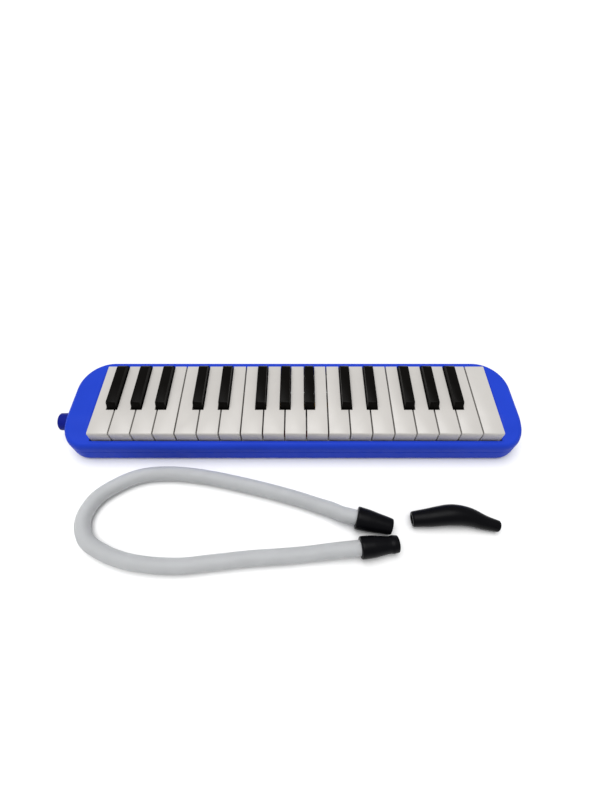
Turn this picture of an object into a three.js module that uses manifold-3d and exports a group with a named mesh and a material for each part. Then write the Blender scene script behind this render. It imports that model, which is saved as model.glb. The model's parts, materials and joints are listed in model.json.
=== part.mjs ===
// A 32-key melodica (F3 to C6) with its blowing hose and its short mouthpiece.
//
// Millimetres, +Z up. X runs along the keyboard from the low notes to the high ones, Y from the player
// to the back. The origin is the centre of the flat underside, where the instrument stands.

import * as THREE from 'three';
import { mergeVertices } from 'three/addons/utils/BufferGeometryUtils.js';
import Module from 'manifold-3d';

const wasm = await Module();
wasm.setup();

// ---------------------------------------------------------------- driving dimensions

const CASE = {
  length: 431,
  depth: 95.2,
  frontRadius: 21,
  rearRadius: 32,
  wall: 2.4,
  partingZ: 14,
  frontRimZ: 25.4,
  cheekZ: 32,
  endRound: { width: 6, height: 7 },
  bottomRound: { width: 3, height: 7 },
};

const KEYBOARD = {
  left: -187.5,
  whitePitch: 20,
  whiteWidth: 18.6,
  whiteTopZ: 36,
  blackTopZ: 42.5,
  blackWidth: 9.6,
  blackTopWidth: 8.6,
  frontY: -40.3,
  blackFrontY: -12.8,
  blackSlopeY: 33,
  rearY: 38.4,
  notchGap: 0.6,
  skirtZ: 23.5,
  tailZ: 26,
  skin: 1.8,
};

const HINGE = { y: 14, z: 24, shaftRadius: 1.5, hubHalf: 3.5, hubZ: 21.8 };
const PAD = { y: 32, length: 11, width: 8.2, bottomZ: 19.6, thickness: 3, legSide: 5 };
const WELL = { clearance: 0.7, frontGap: 1.1, rearGap: 2.2, ledge: 1.4, ledgeZ: 19.6, wall: 2.4 };
const BOARD = { topZ: 19.5, bottomZ: 15.5, gap: 0.2 };
const REED = { plateTopZ: 15.4, plateThickness: 1.5, slotWidth: 2.8, tongueWidth: 2.2 };
const CHAMBER = { bottomZ: 3.5, topZ: 13.8, frontY: -7, rearY: 42, endInset: 1, wall: 2 };
const PORT = { y: -15.4, z: 17, radius: 8.7, endRadius: 8.4, bore: 6.4, endX: -225.4 };
const DRAIN = {
  y: 10,
  z: 9,
  capRadius: 4,
  flangeRadius: 5.5,
  flangeThickness: 1.6,
  rodRadius: 1.5,
  proud: 2.5,
};
const SCREW = { shaftRadius: 1.3, headRadius: 2.8, headDepth: 2.2, seatZ: 3, holeRadius: 1.6 };
const HOSE = { radius: 6.5, sides: 8, steps: 46, gap: 0.3 };

const HALF_LENGTH = CASE.length / 2;
const HALF_DEPTH = CASE.depth / 2;
const EPS = 0.5;

// ---------------------------------------------------------------- materials

function finish(color, roughness, metalness = 0) {
  return new THREE.MeshStandardMaterial({ color, roughness, metalness });
}

const FINISH = {
  blueShell: finish(0x2b3fd0, 0.32),
  bluePort: finish(0x1a2496, 0.35),
  ivory: finish(0xdedad4, 0.25),
  ebony: finish(0x141210, 0.3),
  board: finish(0xc9c8c4, 0.5),
  chamber: finish(0x4a4c50, 0.5),
  rubber: finish(0x2a2a2c, 0.85),
  felt: finish(0x7d1f26, 0.95),
  brass: finish(0xb58d3c, 0.35, 1),
  steel: finish(0xb8babd, 0.3, 1),
  hose: finish(0xcdd0d4, 0.4),
  blackPlastic: finish(0x17171a, 0.4),
};

// ---------------------------------------------------------------- solids

function toSolid(geometry) {
  const bare = geometry.index ? geometry.toNonIndexed() : geometry.clone();
  bare.deleteAttribute('normal');
  bare.deleteAttribute('uv');
  const merged = mergeVertices(bare, 1e-4);
  return new wasm.Manifold(
    new wasm.Mesh({
      numProp: 3,
      vertProperties: new Float32Array(merged.attributes.position.array),
      triVerts: new Uint32Array(merged.index.array),
    }),
  );
}

function toGeometry(solid) {
  const mesh = solid.getMesh();
  const indexed = new THREE.BufferGeometry();
  indexed.setAttribute('position', new THREE.BufferAttribute(mesh.vertProperties, 3));
  indexed.setIndex(new THREE.BufferAttribute(mesh.triVerts, 1));
  const flat = indexed.toNonIndexed();
  flat.computeVertexNormals();
  return flat;
}

function box([x0, x1], [y0, y1], [z0, z1]) {
  const geometry = new THREE.BoxGeometry(x1 - x0, y1 - y0, z1 - z0);
  return toSolid(geometry.translate((x0 + x1) / 2, (y0 + y1) / 2, (z0 + z1) / 2));
}

function rodX(radius, [x0, x1], y, z, sides = 12) {
  const geometry = new THREE.CylinderGeometry(radius, radius, x1 - x0, sides);
  geometry.rotateZ(Math.PI / 2);
  return toSolid(geometry.translate((x0 + x1) / 2, y, z));
}

function rodZ(radius, x, y, [z0, z1], sides = 10) {
  const geometry = new THREE.CylinderGeometry(radius, radius, z1 - z0, sides);
  geometry.rotateX(Math.PI / 2);
  return toSolid(geometry.translate(x, y, (z0 + z1) / 2));
}

// Extrudes an outline given in (Y, Z) along X.
function extrudeX(shape, [x0, x1], curveSegments = 3) {
  const geometry = new THREE.ExtrudeGeometry(shape, { depth: x1 - x0, bevelEnabled: false, curveSegments });
  const turn = new THREE.Matrix4().makeBasis(
    new THREE.Vector3(0, 1, 0),
    new THREE.Vector3(0, 0, 1),
    new THREE.Vector3(1, 0, 0),
  );
  geometry.applyMatrix4(turn);
  return toSolid(geometry.translate(x0, 0, 0));
}

// Extrudes an outline given in (X, Z) along Y.
function extrudeY(shape, [y0, y1], curveSegments = 3) {
  const geometry = new THREE.ExtrudeGeometry(shape, { depth: y1 - y0, bevelEnabled: false, curveSegments });
  geometry.rotateX(Math.PI / 2);
  return toSolid(geometry.translate(0, y1, 0));
}

// Extrudes an outline given in (X, Y) upwards.
function extrudeZ(shape, [z0, z1], curveSegments = 3) {
  const geometry = new THREE.ExtrudeGeometry(shape, { depth: z1 - z0, bevelEnabled: false, curveSegments });
  return toSolid(geometry.translate(0, 0, z0));
}

function addAll(solid, others) {
  return others.reduce((sum, other) => sum.add(other), solid);
}

function cutAll(solid, others) {
  return others.reduce((rest, other) => rest.subtract(other), solid);
}

// ---------------------------------------------------------------- the scene

const melodica = new THREE.Group();

function place(name, solid, material, position = [0, 0, 0]) {
  const mesh = new THREE.Mesh(toGeometry(solid), material);
  mesh.name = name;
  mesh.position.set(...position);
  melodica.add(mesh);
  return mesh;
}

// ---------------------------------------------------------------- the row of keys

// Black keys stand off the line between their white neighbours by the usual keyboard offsets.
const OCTAVE = ['F', 'Fs', 'G', 'Gs', 'A', 'As', 'B', 'C', 'Cs', 'D', 'Ds', 'E'];
const BLACK_OFFSET = { Fs: -3, Gs: 0, As: 3, Cs: -2, Ds: 2 };
const KEY_COUNT = 32;
const FIRST_OCTAVE = 3;

function listKeys() {
  const keys = [];
  let whites = 0;
  for (let i = 0; i < KEY_COUNT; i += 1) {
    const note = OCTAVE[i % OCTAVE.length];
    const octave = FIRST_OCTAVE + Math.floor((i + OCTAVE.indexOf('C') - 2) / OCTAVE.length);
    const black = note in BLACK_OFFSET;
    const edge = KEYBOARD.left + whites * KEYBOARD.whitePitch;
    const x = black ? edge + BLACK_OFFSET[note] : edge + KEYBOARD.whitePitch / 2;
    keys.push({ name: `key_${note}${octave}`, black, x });
    if (!black) whites += 1;
  }
  return keys;
}

const KEYS = listKeys();

// How far a white key's narrow rear part reaches to each side of the key's middle.
function tailReach(index) {
  const half = KEYBOARD.whiteWidth / 2;
  const notchHalf = KEYBOARD.blackWidth / 2 + KEYBOARD.notchGap;
  const { x } = KEYS[index];
  const before = KEYS[index - 1];
  const after = KEYS[index + 1];
  const left = before?.black ? before.x + notchHalf - x : -half;
  const right = after?.black ? after.x - notchHalf - x : half;
  return [left, right];
}

// The hub clips on the shaft from above, and its mouth is narrower than the shaft.
const HUB_BORE = HINGE.shaftRadius + 0.2;
const HUB_MOUTH = 2.7;

function hubCuts(reach) {
  const bore = rodX(HUB_BORE, reach, HINGE.y, HINGE.z, 8);
  const mouthY = [HINGE.y - HUB_MOUTH / 2, HINGE.y + HUB_MOUTH / 2];
  return [bore, box(reach, mouthY, [HINGE.hubZ - EPS, HINGE.z])];
}

// What every key carries inside: the hub, the lug that its spring pushes, and the leg with its pad.
const SPRING_LUG = { y: [-9, -6], z: 25.5 };

function keyInside(reach, ceilingZ) {
  const middle = (reach[0] + reach[1]) / 2;
  const top = ceilingZ + EPS;
  const leg = [middle - PAD.legSide / 2, middle + PAD.legSide / 2];
  const legY = [PAD.y - PAD.legSide / 2, PAD.y + PAD.legSide / 2];
  const padX = [middle - PAD.width / 2, middle + PAD.width / 2];
  const padY = [PAD.y - PAD.length / 2, PAD.y + PAD.length / 2];
  return [
    box(reach, [HINGE.y - HINGE.hubHalf, HINGE.y + HINGE.hubHalf], [HINGE.hubZ, top]),
    box(reach, SPRING_LUG.y, [SPRING_LUG.z, top]),
    box(leg, legY, [PAD.bottomZ + PAD.thickness - EPS, top]),
    box(padX, padY, [PAD.bottomZ, PAD.bottomZ + PAD.thickness]),
  ];
}

const NOTCH_FRONT_Y = KEYBOARD.blackFrontY - 1.4;
const FRONT_EDGE_ROUND = 1.6;

function whiteKey(index) {
  const half = KEYBOARD.whiteWidth / 2;
  const { frontY, rearY, whiteTopZ, skirtZ, tailZ, skin } = KEYBOARD;
  const [left, right] = tailReach(index);

  const outline = new THREE.Shape();
  outline.moveTo(frontY, skirtZ);
  outline.lineTo(NOTCH_FRONT_Y, skirtZ);
  outline.lineTo(NOTCH_FRONT_Y, tailZ);
  outline.lineTo(rearY, tailZ);
  outline.lineTo(rearY, whiteTopZ);
  outline.lineTo(frontY + FRONT_EDGE_ROUND, whiteTopZ);
  outline.absarc(
    frontY + FRONT_EDGE_ROUND,
    whiteTopZ - FRONT_EDGE_ROUND,
    FRONT_EDGE_ROUND,
    Math.PI / 2,
    Math.PI,
    false,
  );
  outline.closePath();

  const behind = [NOTCH_FRONT_Y, rearY + EPS];
  const height = [skirtZ - EPS, whiteTopZ + EPS];
  const ceiling = whiteTopZ - skin - 0.4;
  const hollowZ = [skirtZ - EPS, ceiling];
  const cuts = [
    box([-half + skin, half - skin], [frontY + skin, NOTCH_FRONT_Y - skin], hollowZ),
    box([left + skin, right - skin], [NOTCH_FRONT_Y - 2 * skin, rearY - skin], hollowZ),
  ];
  if (left > -half) cuts.push(box([-half - EPS, left], behind, height));
  if (right < half) cuts.push(box([right, half + EPS], behind, height));

  const shell = cutAll(extrudeX(outline, [-half, half], 2), cuts);
  const hubReach = [left + skin - 0.1, right - skin + 0.1];
  const whole = addAll(shell, keyInside(hubReach, ceiling));
  return cutAll(whole, hubCuts([left, right]));
}

function blackKey() {
  const half = KEYBOARD.blackWidth / 2;
  const { blackFrontY, blackSlopeY, rearY, blackTopZ, tailZ, skin } = KEYBOARD;
  const noseTopY = blackFrontY + 2.6;
  const outline = new THREE.Shape();
  outline.moveTo(blackFrontY, tailZ);
  outline.lineTo(rearY, tailZ);
  outline.lineTo(rearY, KEYBOARD.whiteTopZ + 0.6);
  outline.quadraticCurveTo(blackSlopeY + 2, blackTopZ, blackSlopeY - 1, blackTopZ);
  outline.lineTo(noseTopY + 1.4, blackTopZ);
  outline.quadraticCurveTo(noseTopY + 0.2, blackTopZ, noseTopY - 0.4, blackTopZ - 1.3);
  outline.lineTo(blackFrontY, KEYBOARD.whiteTopZ);
  outline.closePath();

  // The flanks lean in towards the top.
  const lean = 1 - KEYBOARD.blackTopWidth / KEYBOARD.blackWidth;
  const body = extrudeX(outline, [-half, half], 3).warp((v) => {
    v[0] *= 1 - (lean * (v[2] - tailZ)) / (blackTopZ - tailZ);
  });

  const ceiling = blackTopZ - skin - 1;
  const inner = [-half + skin, half - skin];
  // The hollow ends under the flat of the top, clear of the sloping back.
  const hollow = box(inner, [blackFrontY + 3.5, blackSlopeY + 1], [tailZ - EPS, ceiling]);
  const whole = addAll(body.subtract(hollow), keyInside([inner[0] - 0.1, inner[1] + 0.1], ceiling));
  return cutAll(whole, hubCuts([-half, half]));
}

KEYS.forEach((key, index) => {
  const solid = key.black ? blackKey() : whiteKey(index);
  place(key.name, solid, key.black ? FINISH.ebony : FINISH.ivory, [key.x, 0, 0]);
});

// The middle of each key's pad, its tone hole and its reed.
const VOICE_X = KEYS.map((key, index) => {
  const [left, right] = key.black ? [0, 0] : tailReach(index);
  return key.x + (left + right) / 2;
});

// ---------------------------------------------------------------- casing

// The well that the keyboard sits in, with a ledge over the valve board's edge.
const WELL_X = [
  KEYBOARD.left - WELL.clearance,
  KEYBOARD.left + 19 * KEYBOARD.whitePitch + WELL.clearance,
];
const WELL_Y = [KEYBOARD.frontY - WELL.frontGap, KEYBOARD.rearY + WELL.rearGap];

function grow([low, high], by) {
  return [low - by, high + by];
}

const BOARD_POCKET_X = grow(WELL_X, WELL.ledge);
const BOARD_POCKET_Y = [WELL_Y[0] - 1.8, WELL_Y[1] + 2.4];

function casePlan(inset) {
  const x = HALF_LENGTH - inset;
  const y = HALF_DEPTH - inset;
  const front = CASE.frontRadius - inset;
  const rear = CASE.rearRadius - inset;
  const shape = new THREE.Shape();
  shape.absarc(x - rear, y - rear, rear, 0, Math.PI / 2, false);
  shape.absarc(-x + rear, y - rear, rear, Math.PI / 2, Math.PI, false);
  shape.absarc(-x + front, -y + front, front, Math.PI, 1.5 * Math.PI, false);
  shape.absarc(x - front, -y + front, front, 1.5 * Math.PI, 2 * Math.PI, false);
  shape.closePath();
  return shape;
}

// Side view of the upper shell: low rim in front, a rise at the cheeks, level to the rear.
function upperSide(inset) {
  const front = -HALF_DEPTH + inset;
  const rear = HALF_DEPTH - inset;
  const rim = CASE.frontRimZ - inset;
  const top = CASE.cheekZ - inset;
  const shape = new THREE.Shape();
  shape.moveTo(front, CASE.partingZ - inset);
  shape.lineTo(rear, CASE.partingZ - inset);
  shape.lineTo(rear, top - 4);
  shape.quadraticCurveTo(rear, top, rear - 4, top);
  shape.lineTo(-16, top);
  shape.bezierCurveTo(-26, top, -32, rim + 1, WELL_Y[0], rim);
  shape.lineTo(front + 2.5, rim);
  shape.quadraticCurveTo(front, rim, front, rim - 2.5);
  shape.closePath();
  return shape;
}

// Front view of the upper shell: the cheeks round over to the ends.
function upperFront(inset) {
  const x = HALF_LENGTH - inset;
  const top = CASE.cheekZ - inset;
  const { width, height } = CASE.endRound;
  const shape = new THREE.Shape();
  shape.moveTo(-x, CASE.partingZ - inset);
  shape.lineTo(x, CASE.partingZ - inset);
  shape.lineTo(x, top - height);
  shape.quadraticCurveTo(x, top, x - width, top);
  shape.lineTo(-x + width, top);
  shape.quadraticCurveTo(-x, top, -x, top - height);
  shape.closePath();
  return shape;
}

function upperBlock(inset) {
  const tall = extrudeZ(casePlan(inset), [CASE.partingZ - inset, CASE.cheekZ]);
  const side = extrudeX(upperSide(inset), grow([-HALF_LENGTH, HALF_LENGTH], EPS), 4);
  const front = extrudeY(upperFront(inset), grow([-HALF_DEPTH, HALF_DEPTH], EPS), 4);
  return tall.intersect(side).intersect(front);
}

function lowerRound(half) {
  const shape = new THREE.Shape();
  const { width, height } = CASE.bottomRound;
  shape.moveTo(-half + width, 0);
  shape.lineTo(half - width, 0);
  shape.quadraticCurveTo(half, 0, half, height);
  shape.lineTo(half, CASE.partingZ);
  shape.lineTo(-half, CASE.partingZ);
  shape.lineTo(-half, height);
  shape.quadraticCurveTo(-half, 0, -half + width, 0);
  return shape;
}

// Where the casing screws stand: one in each corner of the cheeks, two under the front of the keys.
const CHEEK_SCREWS = [
  [-201.5, -31],
  [-201.5, 31],
  [203, -31],
  [203, 31],
];
const BOARD_SCREWS = [
  [-64, -30],
  [68, -30],
];
const POST_RADIUS = 4;
const PILOT_RADIUS = SCREW.shaftRadius + 0.15;
const CHEEK_SCREW_TIP_Z = 22;
const BOARD_SCREW_TIP_Z = 18;
const BOARD_BOSS_Z = 9;

function upperCase() {
  const inside = upperBlock(CASE.wall);
  const outer = upperBlock(0);
  const leftOf = WELL_X[0] - WELL.wall;
  const rightOf = WELL_X[1] + WELL.wall;
  const allY = grow([-HALF_DEPTH, HALF_DEPTH], EPS);
  const allZ = [CASE.partingZ - 2 * CASE.wall, CASE.cheekZ];
  const hollows = [
    inside.intersect(box([-HALF_LENGTH, leftOf], allY, allZ)),
    inside.intersect(box([rightOf, HALF_LENGTH], allY, allZ)),
    box(WELL_X, WELL_Y, [0, CASE.cheekZ + EPS]),
    box(BOARD_POCKET_X, BOARD_POCKET_Y, [0, WELL.ledgeZ]),
  ];
  const bosses = CHEEK_SCREWS.map(([x, y]) =>
    rodZ(POST_RADIUS, x, y, [CASE.partingZ + 0.2, CASE.cheekZ]).intersect(outer),
  );
  const pilots = CHEEK_SCREWS.map(([x, y]) => rodZ(PILOT_RADIUS, x, y, [0, CHEEK_SCREW_TIP_Z + 1]));

  // The shaft's ends drop into slots that open downwards in the walls of the well.
  const slotY = grow([HINGE.y, HINGE.y], HINGE.shaftRadius + 0.15);
  const shaftReach = grow(WELL_X, WELL.wall + EPS);
  const slots = [
    box(shaftReach, slotY, [0, HINGE.z]),
    rodX(HINGE.shaftRadius + 0.15, shaftReach, HINGE.y, HINGE.z, 8),
  ];
  const portHole = rodX(PORT.radius + 0.3, [-HALF_LENGTH - 1, leftOf - 1], PORT.y, PORT.z, 16);
  const shell = addAll(cutAll(outer, hollows), bosses);
  return cutAll(shell, [...pilots, ...slots, portHole]);
}

function lowerCase() {
  const { wall, partingZ } = CASE;
  const outer = extrudeZ(casePlan(0), [0, partingZ])
    .intersect(extrudeX(lowerRound(HALF_DEPTH), grow([-HALF_LENGTH, HALF_LENGTH], EPS)))
    .intersect(extrudeY(lowerRound(HALF_LENGTH), grow([-HALF_DEPTH, HALF_DEPTH], EPS)));
  const hollow = extrudeZ(casePlan(wall + 0.6), [wall, partingZ + EPS]);
  const screws = [...CHEEK_SCREWS, ...BOARD_SCREWS];
  const posts = [
    ...CHEEK_SCREWS.map(([x, y]) => rodZ(POST_RADIUS, x, y, [wall - EPS, partingZ])),
    ...BOARD_SCREWS.map(([x, y]) => rodZ(POST_RADIUS, x, y, [wall - EPS, BOARD_BOSS_Z - 0.2])),
  ];

  // Two long ribs hold the air chamber up against its gasket, and four posts hold the board.
  const ribs = [2, 32].map((y) =>
    box([-150, 155], [y - 1, y + 1], [wall - EPS, CHAMBER.bottomZ - 0.1]),
  );
  const boardPosts = [-150, -20, 24, 155].map((x) =>
    rodZ(3, x, -20, [wall - EPS, BOARD.bottomZ - BOARD.gap]),
  );
  const holes = screws.flatMap(([x, y]) => [
    rodZ(SCREW.holeRadius, x, y, [-1, partingZ + 1]),
    rodZ(SCREW.headRadius + 0.5, x, y, [-1, SCREW.seatZ]),
  ]);
  const endHoles = [
    rodX(PORT.radius + 0.3, [-HALF_LENGTH - 1, -HALF_LENGTH + 8], PORT.y, PORT.z, 16),
    rodX(DRAIN.capRadius + 0.3, [HALF_LENGTH - 5, HALF_LENGTH + 1], DRAIN.y, DRAIN.z, 12),
  ];
  const shell = addAll(outer.subtract(hollow), [...posts, ...ribs, ...boardPosts]);
  return cutAll(shell, [...holes, ...endHoles]);
}

place('upper_case', upperCase(), FINISH.blueShell);
place('lower_case', lowerCase(), FINISH.blueShell);

// ---------------------------------------------------------------- casing screws

function screw(tipZ) {
  const { shaftRadius, headRadius, headDepth, seatZ } = SCREW;
  const underHead = seatZ - 0.05;
  const profile = [
    [0, underHead - headDepth],
    [headRadius - 0.6, underHead - headDepth],
    [headRadius, underHead - headDepth + 0.7],
    [headRadius, underHead],
    [shaftRadius, underHead],
    [shaftRadius, tipZ - 1],
    [0, tipZ],
  ];
  const lathe = new THREE.LatheGeometry(profile.map(([r, z]) => new THREE.Vector2(r, z)), 10);
  const turned = toSolid(lathe.rotateX(Math.PI / 2));
  const slotZ = [0, underHead - headDepth + 0.9];
  const cross = [box([-1.8, 1.8], [-0.4, 0.4], slotZ), box([-0.4, 0.4], [-1.8, 1.8], slotZ)];
  return cutAll(turned, cross);
}

CHEEK_SCREWS.forEach(([x, y], i) => {
  place(`case_screw_${i + 1}`, screw(CHEEK_SCREW_TIP_Z), FINISH.steel, [x, y, 0]);
});
BOARD_SCREWS.forEach(([x, y], i) => {
  const number = CHEEK_SCREWS.length + i + 1;
  place(`case_screw_${number}`, screw(BOARD_SCREW_TIP_Z), FINISH.steel, [x, y, 0]);
});

// ---------------------------------------------------------------- valve board and what it carries

const BOARD_X = grow(BOARD_POCKET_X, -BOARD.gap);
const BOARD_Y = grow(BOARD_POCKET_Y, -BOARD.gap);
const SADDLE = { width: 2, topZ: 25.2 };
const SADDLE_EDGES = [0, 4, 7, 11, 14, 18, 19];
const TONE_HOLE = { width: 4.6, length: 8 };
const CELL_REAR_Y = PAD.y + TONE_HOLE.length / 2;
const CELL_DEPTH = 2.2;

// Reeds grow shorter from the low notes to the high ones.
function reedLength(index) {
  return THREE.MathUtils.lerp(33, 15, index / (KEY_COUNT - 1));
}

function valveBoard() {
  const { topZ, bottomZ } = BOARD;
  const plate = box(BOARD_X, BOARD_Y, [bottomZ, topZ]);
  const bosses = BOARD_SCREWS.map(([x, y]) => rodZ(POST_RADIUS, x, y, [BOARD_BOSS_Z, bottomZ + EPS]));
  const saddleY = grow([HINGE.y, HINGE.y], HINGE.hubHalf);
  const saddles = SADDLE_EDGES.map((edge) => {
    const half = SADDLE.width / 2;
    const x = KEYBOARD.left + edge * KEYBOARD.whitePitch;
    const inside = THREE.MathUtils.clamp(x, KEYBOARD.left + half, WELL_X[1] - WELL.clearance - half);
    return box(grow([inside, inside], half), saddleY, [topZ - EPS, SADDLE.topZ]);
  });
  const rest = HINGE.shaftRadius + 0.2;
  const cradle = [
    rodX(rest, WELL_X, HINGE.y, HINGE.z, 8),
    box(WELL_X, grow([HINGE.y, HINGE.y], rest), [HINGE.z, SADDLE.topZ + EPS]),
  ];
  const pilots = BOARD_SCREWS.map(([x, y]) => rodZ(PILOT_RADIUS, x, y, [0, BOARD_SCREW_TIP_Z + 0.5]));
  const voices = VOICE_X.flatMap((x, index) => {
    const hole = box(
      grow([x, x], TONE_HOLE.width / 2),
      grow([PAD.y, PAD.y], TONE_HOLE.length / 2),
      [bottomZ - EPS, topZ + EPS],
    );
    const cell = box(
      grow([x, x], TONE_HOLE.width / 2),
      [CELL_REAR_Y - reedLength(index), CELL_REAR_Y],
      [bottomZ - EPS, bottomZ + CELL_DEPTH],
    );
    return [hole, cell];
  });
  return cutAll(addAll(plate, [...bosses, ...saddles]), [...cradle, ...pilots, ...voices]);
}

place('valve_board', valveBoard(), FINISH.board);

const SHAFT_REACH = grow(WELL_X, WELL.wall - 0.4);
place('key_shaft', rodX(HINGE.shaftRadius, SHAFT_REACH, HINGE.y, HINGE.z), FINISH.steel);

// One strip of spring brass with a finger under each key's lug.
const COMB = { y: [0, 5], thickness: 0.5, fingerWidth: 3, tipY: -9 };

function springComb() {
  const base = BOARD.topZ + 0.05;
  const tip = SPRING_LUG.z - 0.1;
  const { y, thickness, fingerWidth, tipY } = COMB;
  const strip = box([VOICE_X[0] - 4, VOICE_X[KEY_COUNT - 1] + 4], y, [base, base + thickness]);
  const finger = new THREE.Shape([
    new THREE.Vector2(y[0] + EPS, base),
    new THREE.Vector2(y[0] + EPS, base + thickness),
    new THREE.Vector2(tipY, tip),
    new THREE.Vector2(tipY, tip - thickness),
  ]);
  const fingers = VOICE_X.map((x) => extrudeX(finger, grow([x, x], fingerWidth / 2)));
  return addAll(strip, fingers);
}

place('key_spring_comb', springComb(), FINISH.brass);

// The felt strip that stops the white keys when they are pressed down.
const FELT = { y: [-34, -28], thickness: 1 };
place(
  'front_felt',
  box(grow(WELL_X, -1.5), FELT.y, [BOARD.topZ, BOARD.topZ + FELT.thickness]),
  FINISH.felt,
);

// ---------------------------------------------------------------- reeds and air chamber

const CHAMBER_X = grow(BOARD_X, -CHAMBER.endInset);
const CHAMBER_Y = [CHAMBER.frontY, CHAMBER.rearY];
const REED_FIELD_X = grow(CHAMBER_X, -3);
const REED_FIELD_Y = grow(CHAMBER_Y, -3);
const HALF_COUNT = KEY_COUNT / 2;
const REED_SPLIT_X = (VOICE_X[HALF_COUNT - 1] + VOICE_X[HALF_COUNT]) / 2;

// A brass plate with a slot for each reed, and each reed a thin tongue riveted at one end.
function reedPlate(first, [x0, x1]) {
  const topZ = REED.plateTopZ;
  const bottomZ = topZ - REED.plateThickness;
  const tongueZ = [bottomZ - 0.3, bottomZ + 0.1];
  const plate = box([x0, x1], grow(REED_FIELD_Y, -0.3), [bottomZ, topZ]);
  const indices = Array.from({ length: HALF_COUNT }, (_, i) => first + i);
  const slots = indices.map((index) => {
    const x = VOICE_X[index];
    const reach = [CELL_REAR_Y - reedLength(index) + 2, CELL_REAR_Y - 1];
    return box(grow([x, x], REED.slotWidth / 2), reach, [bottomZ - EPS, topZ + EPS]);
  });
  const tongues = indices.map((index) => {
    const x = VOICE_X[index];
    const reach = [CELL_REAR_Y - reedLength(index) - 3, CELL_REAR_Y - 1.4];
    return box(grow([x, x], REED.tongueWidth / 2), reach, tongueZ);
  });
  return addAll(cutAll(plate, slots), tongues);
}

const REED_GAP = 0.3;
place(
  'reed_plate_low',
  reedPlate(0, [REED_FIELD_X[0] + REED_GAP, REED_SPLIT_X - REED_GAP]),
  FINISH.brass,
);
place(
  'reed_plate_high',
  reedPlate(HALF_COUNT, [REED_SPLIT_X + REED_GAP, REED_FIELD_X[1] - REED_GAP]),
  FINISH.brass,
);

const AIR_INLET = { y: [-4, 4], z: [6, 11.5] };

function airChamber() {
  const { bottomZ, topZ, wall } = CHAMBER;
  const inlet = box([CHAMBER_X[0] - 1, CHAMBER_X[0] + wall + 1], AIR_INLET.y, AIR_INLET.z);
  const drain = rodX(2.5, [CHAMBER_X[1] - wall - 1, CHAMBER_X[1] + 1], DRAIN.y, DRAIN.z, 8);
  return cutAll(box(CHAMBER_X, CHAMBER_Y, [bottomZ, topZ]), [
    box(grow(CHAMBER_X, -wall), grow(CHAMBER_Y, -wall), [bottomZ + wall - 0.4, topZ + EPS]),
    inlet,
    drain,
  ]);
}

place('air_chamber', airChamber(), FINISH.chamber);

function chamberGasket() {
  const z = [CHAMBER.topZ + 0.05, BOARD.bottomZ - 0.05];
  return box(CHAMBER_X, CHAMBER_Y, z).subtract(box(REED_FIELD_X, REED_FIELD_Y, grow(z, EPS)));
}

place('chamber_gasket', chamberGasket(), FINISH.rubber);

// ---------------------------------------------------------------- blow port

const MANIFOLD = { x: [-206.5, -194], y: [-24, 7], z: [4.2, 25.2], wall: 2 };
const SPIGOT_END_X = CHAMBER_X[0] - 1.6;
const COLLAR = { x: -210.8, radius: 10 };

function blowPort() {
  const { wall } = MANIFOLD;
  const { endX, radius, endRadius, bore, y, z } = PORT;
  const stubLength = MANIFOLD.x[0] + 1 - endX;
  const tube = new THREE.CylinderGeometry(radius, endRadius, stubLength, 20);
  tube.rotateZ(-Math.PI / 2);
  const stub = toSolid(tube.translate(endX + stubLength / 2, y, z));
  const spigot = box([MANIFOLD.x[1] - 1, SPIGOT_END_X], grow(AIR_INLET.y, 1.5), grow(AIR_INLET.z, 1.4));
  const collar = rodX(COLLAR.radius, [COLLAR.x, MANIFOLD.x[0] + 1], y, z, 20);
  const body = addAll(box(MANIFOLD.x, MANIFOLD.y, MANIFOLD.z), [stub, collar, spigot]);
  return cutAll(body, [
    box(grow(MANIFOLD.x, -wall), grow(MANIFOLD.y, -wall), grow(MANIFOLD.z, -wall)),
    rodX(bore, [endX - 1, MANIFOLD.x[0] + wall + 1], y, z),
    box([MANIFOLD.x[1] - wall - 1, SPIGOT_END_X + 1], AIR_INLET.y, AIR_INLET.z),
  ]);
}

place('blow_port', blowPort(), FINISH.bluePort);

function portSeal() {
  const x = [SPIGOT_END_X + 0.1, CHAMBER_X[0] - 0.1];
  const outer = box(x, grow(AIR_INLET.y, 1.5), grow(AIR_INLET.z, 1.4));
  return outer.subtract(box(grow(x, EPS), AIR_INLET.y, AIR_INLET.z));
}

place('blow_port_seal', portSeal(), FINISH.rubber);

// ---------------------------------------------------------------- water release valve

const FLANGE_REST_X = HALF_LENGTH - CASE.wall - 0.9;
const BUTTON_FLANGE_X = [FLANGE_REST_X - DRAIN.flangeThickness, FLANGE_REST_X];
const VALVE_PAD_X = [CHAMBER_X[1] - CHAMBER.wall - 2.3, CHAMBER_X[1] - CHAMBER.wall - 0.3];

function waterButton() {
  const { y, z, capRadius, flangeRadius, rodRadius, proud } = DRAIN;
  return addAll(rodX(capRadius, [BUTTON_FLANGE_X[0], HALF_LENGTH + proud], y, z), [
    rodX(flangeRadius, BUTTON_FLANGE_X, y, z),
    rodX(rodRadius, [VALVE_PAD_X[0] - 0.4, BUTTON_FLANGE_X[0] + 1], y, z, 8),
  ]);
}

place('water_button', waterButton(), FINISH.blackPlastic);

const VALVE_PAD_RADIUS = 3.7;
const valvePad = rodX(VALVE_PAD_RADIUS, VALVE_PAD_X, DRAIN.y, DRAIN.z).subtract(
  rodX(DRAIN.rodRadius + 0.2, grow(VALVE_PAD_X, EPS), DRAIN.y, DRAIN.z, 8),
);
place('water_valve_pad', valvePad, FINISH.rubber);

class SpringCurve extends THREE.Curve {
  getPoint(t, target = new THREE.Vector3()) {
    const angle = t * 2 * Math.PI * this.turns;
    const x = THREE.MathUtils.lerp(this.x0, this.x1, t);
    return target.set(x, this.y + this.radius * Math.cos(angle), this.z + this.radius * Math.sin(angle));
  }
}

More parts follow.
